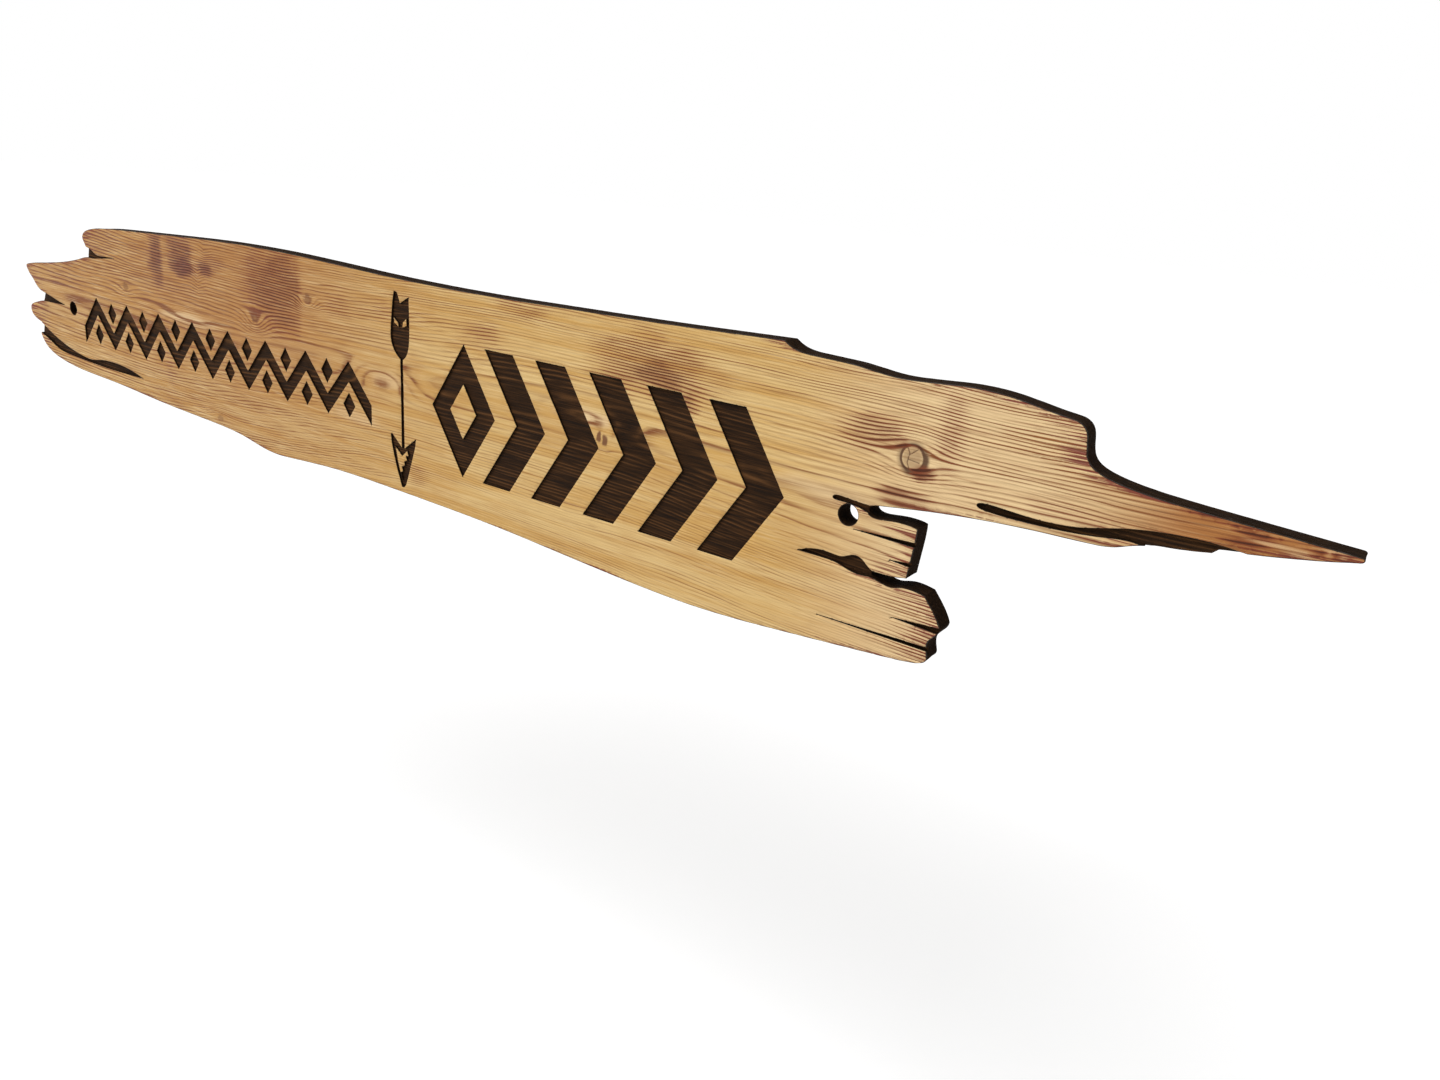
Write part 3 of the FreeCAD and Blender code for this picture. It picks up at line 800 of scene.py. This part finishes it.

# The growth rings, the knots and the cracks in them. A knot's rim carries painted shade on its lower right.
ring = ring_numbers(x, depth, z)
knot_core = np.zeros_like(x)
knot_rim_and_shade = np.zeros_like(x)
calm = np.zeros_like(x)
for knot in KNOTS:
    core, rim, middle = knot_looks(knot, x, z)
    knot_core = np.maximum(knot_core, core)
    knot_rim_and_shade = np.maximum(knot_rim_and_shade, rim)
    calm = np.maximum(calm, middle)
for crack in CRACKS:
    for start, end in zip(crack.points, crack.points[1:]):
        away = near_line(start, end, x, z)
        knot_rim_and_shade = np.maximum(knot_rim_and_shade, CRACK_DARK * on_front * smooth(crack.wide, CRACK_CORE, away))

# The relief: each vertex moves in or out from its face.
wave = np.cos(2 * np.pi * (ring - LATE_PHASE))
wear = BRUSH_DEPTH * (BRUSH_LEAST + slope(BRUSH_RIGHT, x)) * (0.5 - 0.5 * wave)
wear *= (BRUSH_MEAN + swirl(BRUSH_RIPPLE, x, z)) * (1 - CALM_SHARE * calm) * (1 + eye_share(x, z))
torn_depth = torn(x, z)
front_drop = np.maximum(rounded(edge_distance, EDGE_ROUND), rounded(cut_distance, CUT_ROUND))
front_drop = np.maximum(front_drop + wear + KNOT_LINE_DEPTH * np.clip(knot_rim_and_shade, 0, 1), torn_depth)
back_drop = rounded(edge_distance, EDGE_ROUND) + BACK_WEAR * wear
floor_drop = -FLOOR_WEAR * wave
level = (depth - FRONT) / (BACK - FRONT)
lift = np.where(depth == FLOOR, floor_drop, 0.0)
lift = np.where(depth == SPLIT, floor_drop * SPLIT_WEAR, lift)
lift = np.where(on_side, front_drop * (1 - level) - back_drop * level, lift)
lift = np.where(on_front, front_drop, lift)
lift = np.where(on_back, -back_drop, lift)
y = depth + lift

# The charred sides: each vertex on a rim moves into the wood, and all stay inside the frame's box.
inward = {}
for loop in through_loops:
    turn = 1 if (signed_area(loop) > 0) == (loop is outline) else -1
    for point, normal in zip(loop, normals(loop) * turn):
        inward[point] = normal
shrink = np.array([inward.get(point, (0.0, 0.0)) for point in zip(x, z)])
rough = CHAR_MEAN + swirl(CHAR_RIPPLE, x + z, y * CHAR_STRETCH + z)
rough = CHAR_DEPTH * rough * np.where(on_side, 1.0, RIM_CHAR)
x = x + shrink[:, 0] * rough
z = z + shrink[:, 1] * rough
low, high = (np.array(corner) / MM for corner in cad_box)
places = np.clip(np.stack([x, y, z], axis=1), low, high) * MM

# What the fire has done: torch marks, singed ends, burnt rims and a darker tone.
torched = np.where(on_back, BACK_TORCH, 1.0)
scorch = torched * marked(MARKS, x, z)
# Paler wood towards the right hand end, and the pale marks, which are partly painted highlights.
pale = torched * np.maximum(marked(PALE_AND_HIGHLIGHT_MARKS, x, z), slope(RIGHT_PALE, x) * slope(SPIKE_PALE, x))
singe = slope(END_SINGE, end_distance) * slope(RIM_SINGE, edge_distance)
singe = np.maximum(singe, on_front * slope(TORN_SINGE, torn_depth))
burn = slope(RIM_BURN, edge_distance)
burn = np.maximum(burn, on_front * slope(CUT_BURN, cut_distance))
burn = np.maximum(burn, on_front * slope(TORN_BURN, torn_depth))
burn = np.where(on_side, 1.0, burn)
tone = (slope(LEFT_TONE, x) + slope(FAR_LEFT_TONE, x)) * (LOW_TONE + slope(HIGH_TONE, z))
tone = torched * np.maximum(tone, slope(SPIKE_TONE, x))
plum = slope(LEFT_PLUM, x)
end_contrast = slope(SHOULDER_CONTRAST, z) + slope(TIP_CONTRAST, end_distance) + slope(LOW_CONTRAST, z)
contrast = CONTRAST + slope(HIGH_CONTRAST, z) + slope(LEFT_CONTRAST, x) + EYE_CONTRAST * eye_share(x, z)
contrast += slope(RIGHT_END, x) * end_contrast

# The plank's mesh. The materials read the looks of each vertex by these names.
looks = {
    "ring": ring,
    "scorch": scorch,
    "singe": singe,
    "burn": burn,
    "tone": tone,
    "contrast": contrast,
    "pale": pale,
    "plum": plum,
    "knot_core": knot_core,
    "knot_rim_and_shade": knot_rim_and_shade,
}
mesh = bpy.data.meshes.new("plank")
mesh.from_pydata(places.tolist(), [], plank.faces)
for name, values in looks.items():
    mesh.attributes.new(name, "FLOAT", "POINT").data.foreach_set("value", values.astype(np.float32))
mesh.polygons.foreach_set("material_index", plank.materials)
mesh.polygons.foreach_set("use_smooth", [True] * len(mesh.polygons))
shell = bmesh.new()
shell.from_mesh(mesh)
bmesh.ops.recalc_face_normals(shell, faces=shell.faces)
shell.to_mesh(mesh)
shell.free()
mesh.set_sharp_from_angle(angle=SHARP_EDGE)
plank_object = bpy.data.objects.new("plank", mesh)
bpy.context.scene.collection.objects.link(plank_object)


def paint(red, green, blue):
    """A colour written as 0 to 255 on a screen, as the linear colour that a shader takes."""
    shares = [channel / 255 for channel in (red, green, blue)]
    return [s / 12.92 if s <= 0.04045 else ((s + 0.055) / 1.055) ** 2.4 for s in shares] + [1.0]


# The colours of the wood, from the palest to the most burnt.
# A painted highlight for the brushed ridges.
PAINTED_RIDGE_HIGHLIGHT = paint(238, 210, 158)
# Pale wood, also laid as a painted highlight in the pale marks.
PALE_WOOD_AND_HIGHLIGHT = paint(234, 205, 160)
EARLY_WOOD = paint(219, 185, 124)
WARM_BAND = paint(206, 163, 94)
BROWN_CLOUD = paint(190, 142, 78)
DEEP_TONE = paint(170, 113, 61)
BRUSHED_LINE = paint(144, 92, 52)
FIBRE = paint(140, 94, 54)
LATE_WOOD = paint(132, 80, 44)
SCORCHED = paint(122, 60, 34)
SINGED = paint(118, 54, 44)
PLUM_SCORCHED = paint(112, 60, 52)
KNOT_CORE = paint(104, 62, 42)
# The knots' rim line, also laid as painted shade on the large knot's lower right.
KNOT_RIM_AND_SHADE = paint(70, 38, 26)
DEEP_SCORCHED = paint(66, 32, 20)
BURNT_RIM = paint(31, 20, 12)

# The colours of the burnt floors and of the charred sides, each from its dark ground up.
FLOOR_GROUND = paint(22, 12, 5)
FLOOR_FIBRE = paint(60, 38, 19)
FLOOR_STREAK = paint(108, 72, 40)
CHAR_GROUND = paint(21, 13, 7)
CHAR_FIBRE = paint(46, 31, 18)
CHAR_CRACKLE = paint(64, 44, 27)

# How dark a ring is from its early wood to its late wood, as (phase, darkness) stops.
WOOD_RING = [(0.0, 0.1), (0.2, 0.0), (0.5, 0.08), (0.76, 0.9), (0.86, 1.0), (0.95, 0.3)]
FLOOR_RING = [(0.0, 0.2), (0.3, 0.0), (0.6, 0.2), (0.84, 1.0), (0.95, 0.4)]

# The bump's height, how strongly the torch colours each face, and how much each surface reflects.
BUMP_HEIGHT = 0.4
FRONT_FLAME = 0.9
BACK_FLAME = 0.4
WOOD_GLOSS = 0.15
FLOOR_GLOSS = 0.1
CHAR_GLOSS = 0.02

# The sockets of a colour mix, which are told apart only by their numbers.
MIX_SHARE, MIX_FIRST, MIX_SECOND, MIX_RESULT = 0, 6, 7, 2


class Shader:
    """A material's nodes. Its colour starts as a ground, and other colours are laid over it."""

    def __init__(self, name, ground, gloss):
        self.material = bpy.data.materials.new(name)
        self.material.use_nodes = True
        self.nodes = self.material.node_tree.nodes
        self.links = self.material.node_tree.links
        self.surface = self.nodes["Principled BSDF"]
        self.surface.inputs["Specular IOR Level"].default_value = gloss
        self.place = self.nodes.new("ShaderNodeTexCoord").outputs["Object"]
        self.colour = ground

    def feed(self, socket, value):
        """Links an output to a socket, or sets the socket to a number or colour."""
        if isinstance(value, bpy.types.NodeSocket):
            self.links.new(value, socket)
        else:
            socket.default_value = value

    def attribute(self, name):
        """One of the looks that the mesh holds for each vertex."""
        node = self.nodes.new("ShaderNodeAttribute")
        node.attribute_name = name
        return node.outputs["Fac"]

    def grain(self, along, across, detail=3.0):
        """Noise from 0 to 1 with streaks of a length and a width in millimetres."""
        mapping = self.nodes.new("ShaderNodeMapping")
        mapping.inputs["Scale"].default_value = (1 / (along * MM), 1 / (across * MM), 1 / (across * MM))
        self.links.new(self.place, mapping.inputs["Vector"])
        node = self.nodes.new("ShaderNodeTexNoise")
        node.inputs["Scale"].default_value = 1.0
        node.inputs["Detail"].default_value = detail
        self.links.new(mapping.outputs["Vector"], node.inputs["Vector"])
        return node.outputs["Fac"]

    def chance(self, number):
        """A value from 0 to 1 that is the same wherever the whole number is the same."""
        node = self.nodes.new("ShaderNodeTexWhiteNoise")
        node.noise_dimensions = "1D"
        self.links.new(number, node.inputs["W"])
        return node.outputs["Value"]

    def math(self, operation, first, second=0.0):
        """What an operation makes of one or two values, each an output or a number."""
        node = self.nodes.new("ShaderNodeMath")
        node.operation = operation
        self.feed(node.inputs[0], first)
        self.feed(node.inputs[1], second)
        return node.outputs["Value"]

    def times(self, first, second):
        """One value times another."""
        return self.math("MULTIPLY", first, second)

    def plus(self, first, second):
        """One value added to another."""
        return self.math("ADD", first, second)

    def ramp(self, value, low, high, top=1.0):
        """0 at low, top at high, and an even S between them; low may be the larger."""
        node = self.nodes.new("ShaderNodeMapRange")
        node.interpolation_type = "SMOOTHSTEP"
        self.feed(node.inputs["Value"], value)
        node.inputs["From Min"].default_value = low
        node.inputs["From Max"].default_value = high
        node.inputs["To Max"].default_value = top
        return node.outputs["Result"]

    def profile(self, value, stops):
        """A value read off a broken line through (place, height) stops."""
        node = self.nodes.new("ShaderNodeValToRGB")
        elements = node.color_ramp.elements
        while len(elements) < len(stops):
            elements.new(0.5)
        for element, (place, height) in zip(elements, stops):
            element.position = place
            element.color = (height, height, height, 1)
        self.links.new(value, node.inputs["Fac"])
        return node.outputs["Color"]

    def blend(self, share, first, second):
        """A share of the second colour over the first."""
        node = self.nodes.new("ShaderNodeMix")
        node.data_type = "RGBA"
        self.feed(node.inputs[MIX_SHARE], share)
        self.feed(node.inputs[MIX_FIRST], first)
        self.feed(node.inputs[MIX_SECOND], second)
        return node.outputs[MIX_RESULT]

    def lay(self, share, colour):
        """Lays a share of a colour over the colours so far."""
        self.colour = self.blend(share, self.colour, colour)

    def finish(self, roughness, height, strength):
        """The material, with the colours that were laid and a bump."""
        self.feed(self.surface.inputs["Base Color"], self.colour)
        self.feed(self.surface.inputs["Roughness"], roughness)
        bump = self.nodes.new("ShaderNodeBump")
        bump.inputs["Strength"].default_value = strength
        bump.inputs["Distance"].default_value = BUMP_HEIGHT * MM
        self.links.new(height, bump.inputs["Height"])
        self.links.new(bump.outputs["Normal"], self.surface.inputs["Normal"])
        return self.material


def wood(name, flame):
    """Brushed pine: pale early wood, brown late wood lines, knots, torch marks and burnt rims, with painted
    highlights on the ridges and painted shade beside the large knot.
    """
    shader = Shader(name, EARLY_WOOD, WOOD_GLOSS)
    brushed = shader.grain(45, 0.9, 2.0)
    fibres = shader.grain(14, 0.5, 4.0)
    late = lay_grain(shader, brushed, fibres)
    shader.lay(shader.times(shader.attribute("knot_core"), 0.8), KNOT_CORE)
    # The knots' rim lines and cracks, with the painted shade on the large knot's lower right.
    shader.lay(shader.ramp(shader.attribute("knot_rim_and_shade"), 0.1, 0.9, 0.9), KNOT_RIM_AND_SHADE)
    lay_fire(shader, brushed, late, flame)
    return shader.finish(shader.ramp(fibres, 0.0, 0.7, 0.65), brushed, 0.6)


def lay_grain(shader, brushed, fibres):
    """Lays the colours of the bare wood, with painted highlights on the brushed ridges and in the pale
    marks. Gives the place of the late wood lines, which the fire follows.
    """
    ring = shader.plus(shader.attribute("ring"), shader.times(shader.grain(50, 4), 0.3))
    late = shader.profile(shader.math("FRACT", ring), WOOD_RING)
    ring_strength = shader.ramp(shader.chance(shader.math("FLOOR", ring)), -0.7, 1.0, 1.3)
    presence = shader.plus(shader.ramp(shader.grain(110, 5), 0.35, 0.65), 0.35)
    contrast = shader.attribute("contrast")
    late_share = shader.times(late, shader.times(presence, contrast))
    bands = shader.ramp(shader.grain(260, 8), 0.38, 0.66)
    clouds = shader.ramp(shader.grain(80, 35), 0.42, 0.68)
    tone = shader.attribute("tone")
    lines = shader.times(shader.ramp(brushed, 0.52, 0.7), contrast)
    # Painted highlights along the brushed ridges, where the brushed noise is low.
    ridge_highlights = shader.times(shader.ramp(brushed, 0.47, 0.32), contrast)
    shader.lay(bands, WARM_BAND)
    shader.lay(shader.times(clouds, 0.4), BROWN_CLOUD)
    shader.lay(shader.times(tone, 0.85), DEEP_TONE)
    # Paler wood, and the painted highlights of the pale marks.
    shader.lay(shader.times(shader.attribute("pale"), 0.75), PALE_WOOD_AND_HIGHLIGHT)
    shader.lay(shader.times(late_share, ring_strength), LATE_WOOD)
    shader.lay(shader.times(lines, 0.5), BRUSHED_LINE)
    # Lays the painted ridge highlights, weaker where the tone is dark.
    shader.lay(shader.times(ridge_highlights, shader.ramp(tone, 1.8, -0.1, 0.5)), PAINTED_RIDGE_HIGHLIGHT)
    shader.lay(shader.ramp(fibres, 0.52, 0.78, 0.25), FIBRE)
    return late


def lay_fire(shader, brushed, late, flame):
    """Lays the torch marks, the singed ends and the burnt rims. They are uneven, as the grain is."""
    mottle = shader.grain(16, 3.0, 4.0)
    uneven = shader.plus(shader.times(late, 1.4), shader.times(mottle, 0.6))
    uneven = shader.plus(uneven, shader.times(brushed, 0.5))
    marks = shader.times(shader.attribute("scorch"), uneven)
    scorched = shader.blend(shader.attribute("plum"), SCORCHED, PLUM_SCORCHED)
    streaks = shader.ramp(shader.grain(60, 1.7, 2.0), 0.44, 0.6)
    streaks = shader.times(streaks, shader.ramp(brushed, 0.38, 0.58))
    streaks = shader.plus(streaks, shader.times(late, 0.55))
    singed = shader.times(shader.attribute("singe"), streaks)
    shader.lay(shader.ramp(marks, 0.12, 1.1, flame), scorched)
    shader.lay(shader.ramp(marks, 0.95, 2.0, 0.85), DEEP_SCORCHED)
    shader.lay(shader.ramp(singed, 0.08, 0.75, 0.9), SINGED)
    shader.lay(shader.ramp(shader.attribute("burn"), 0.2, 0.85), BURNT_RIM)


def engraving():
    """Burnt floors of the engraving and the splits, with the grain showing as paler streaks."""
    shader = Shader(MATERIALS[ENGRAVED], FLOOR_GROUND, FLOOR_GLOSS)
    late = shader.profile(shader.math("FRACT", shader.attribute("ring")), FLOOR_RING)
    fibres = shader.grain(25, 0.6, 4.0)
    streak = shader.times(late, shader.ramp(shader.grain(50, 5), 0.36, 0.66))
    shader.lay(shader.ramp(fibres, 0.35, 0.75), FLOOR_FIBRE)
    shader.lay(shader.times(streak, 0.75), FLOOR_STREAK)
    return shader.finish(shader.ramp(fibres, -0.4, 0.6, 0.85), fibres, 0.5)


def charcoal():
    """Charred sides of the plank and of its cuts."""
    shader = Shader(MATERIALS[CHARRED], CHAR_GROUND, CHAR_GLOSS)
    fibres = shader.grain(14, 1.1, 4.0)
    crackle = shader.grain(4, 2.2, 4.0)
    shader.lay(shader.ramp(fibres, 0.35, 0.75), CHAR_FIBRE)
    shader.lay(shader.ramp(crackle, 0.6, 0.75, 0.5), CHAR_CRACKLE)
    return shader.finish(shader.ramp(crackle, -0.4, 0.6, 0.9), crackle, 0.6)


mesh.materials.append(wood(MATERIALS[FLAMED], FRONT_FLAME))
mesh.materials.append(engraving())
mesh.materials.append(charcoal())
mesh.materials.append(wood(MATERIALS[PLAIN], BACK_FLAME))
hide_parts("sign_board")
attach(plank_object, "root")


def seen_rays(tree):
    """A value of 1 for the rays that show the background: from the camera, in gloss and through glass."""
    rays = tree.nodes.new("ShaderNodeLightPath")
    value = rays.outputs["Is Camera Ray"]
    for kind in ("Is Glossy Ray", "Is Transmission Ray"):
        either = tree.nodes.new("ShaderNodeMath")
        either.operation = "MAXIMUM"
        tree.links.new(value, either.inputs[0])
        tree.links.new(rays.outputs[kind], either.inputs[1])
        value = either.outputs["Value"]
    return value


WHITE = (1, 1, 1, 1)

# A pale floor well below the plank. The camera sees it a little brighter, so that only the shadow shows.
STAGE_BELOW = 0.5
STAGE_HALF = 20.0
STAGE_GLOW = 0.2
STAGE_PAINT = (0.95, 0.95, 0.95, 1)
STAGE_ROUGHNESS = 0.9

floor_z = cad_box[0].z - STAGE_BELOW
floor_corners = [(-STAGE_HALF, -STAGE_HALF, floor_z), (STAGE_HALF, -STAGE_HALF, floor_z),
                 (STAGE_HALF, STAGE_HALF, floor_z), (-STAGE_HALF, STAGE_HALF, floor_z)]
floor_mesh = bpy.data.meshes.new("floor")
floor_mesh.from_pydata(floor_corners, [], [(0, 1, 2, 3)])
floor = bpy.data.objects.new("floor", floor_mesh)
bpy.context.scene.collection.objects.link(floor)
floor_paint = bpy.data.materials.new("pale_floor")
floor_paint.use_nodes = True
floor_tree = floor_paint.node_tree
floor_surface = floor_tree.nodes["Principled BSDF"]
floor_surface.inputs["Base Color"].default_value = STAGE_PAINT
floor_surface.inputs["Roughness"].default_value = STAGE_ROUGHNESS
floor_surface.inputs["Specular IOR Level"].default_value = 0.0
floor_surface.inputs["Emission Color"].default_value = WHITE
glow = floor_tree.nodes.new("ShaderNodeMath")
glow.operation = "MULTIPLY"
glow.inputs[1].default_value = STAGE_GLOW
floor_tree.links.new(seen_rays(floor_tree), glow.inputs[0])
floor_tree.links.new(glow.outputs["Value"], floor_surface.inputs["Emission Strength"])
floor_mesh.materials.append(floor_paint)

# Even studio light from the world, which the camera sees as white.
WORLD_LIGHT = 0.3

world = bpy.data.worlds.new("studio")
bpy.context.scene.world = world
world.use_nodes = True
world_tree = world.node_tree
light = world_tree.nodes["Background"]
light.inputs["Color"].default_value = WHITE
light.inputs["Strength"].default_value = WORLD_LIGHT
white = world_tree.nodes.new("ShaderNodeBackground")
white.inputs["Color"].default_value = WHITE
both = world_tree.nodes.new("ShaderNodeMixShader")
world_tree.links.new(seen_rays(world_tree), both.inputs["Fac"])
world_tree.links.new(light.outputs["Background"], both.inputs[1])
world_tree.links.new(white.outputs["Background"], both.inputs[2])
world_tree.links.new(both.outputs["Shader"], world_tree.nodes["World Output"].inputs["Surface"])

# One soft lamp from above the left front.
LAMP_DIRECTION = Vector((0.3, 0.6, -0.9))
LAMP_ENERGY = 2.5
LAMP_ANGLE = math.radians(40)

lamp = bpy.data.lights.new("soft_lamp", "SUN")
lamp.energy = LAMP_ENERGY
lamp.angle = LAMP_ANGLE
lamp_holder = bpy.data.objects.new("soft_lamp", lamp)
lamp_holder.rotation_euler = LAMP_DIRECTION.to_track_quat("-Z", "Y").to_euler()
bpy.context.scene.collection.objects.link(lamp_holder)

# The camera stands close to the right hand end, a little above it, and looks back along the plank.
CAMERA_PLACE = Vector((0.7679, -0.6180, 0.1994))
CAMERA_RIGHT = Vector((0.8263, 0.5566, 0.0862))
CAMERA_UP = Vector((-0.2486, 0.2231, 0.9426))
CAMERA_LENS = 26.5
CAMERA_SENSOR = 36.0
CAMERA_NEAREST = 0.01

camera_data = bpy.data.cameras.new("camera")
camera_data.sensor_fit = "HORIZONTAL"
camera_data.sensor_width = CAMERA_SENSOR
camera_data.lens = CAMERA_LENS
camera_data.clip_start = CAMERA_NEAREST
camera = bpy.data.objects.new("camera", camera_data)
facing = Matrix((CAMERA_RIGHT, CAMERA_UP, CAMERA_RIGHT.cross(CAMERA_UP))).transposed().to_4x4()
camera.matrix_world = Matrix.Translation(CAMERA_PLACE) @ facing
bpy.context.scene.collection.objects.link(camera)
bpy.context.scene.camera = camera
bpy.context.scene.view_settings.view_transform = "Standard"
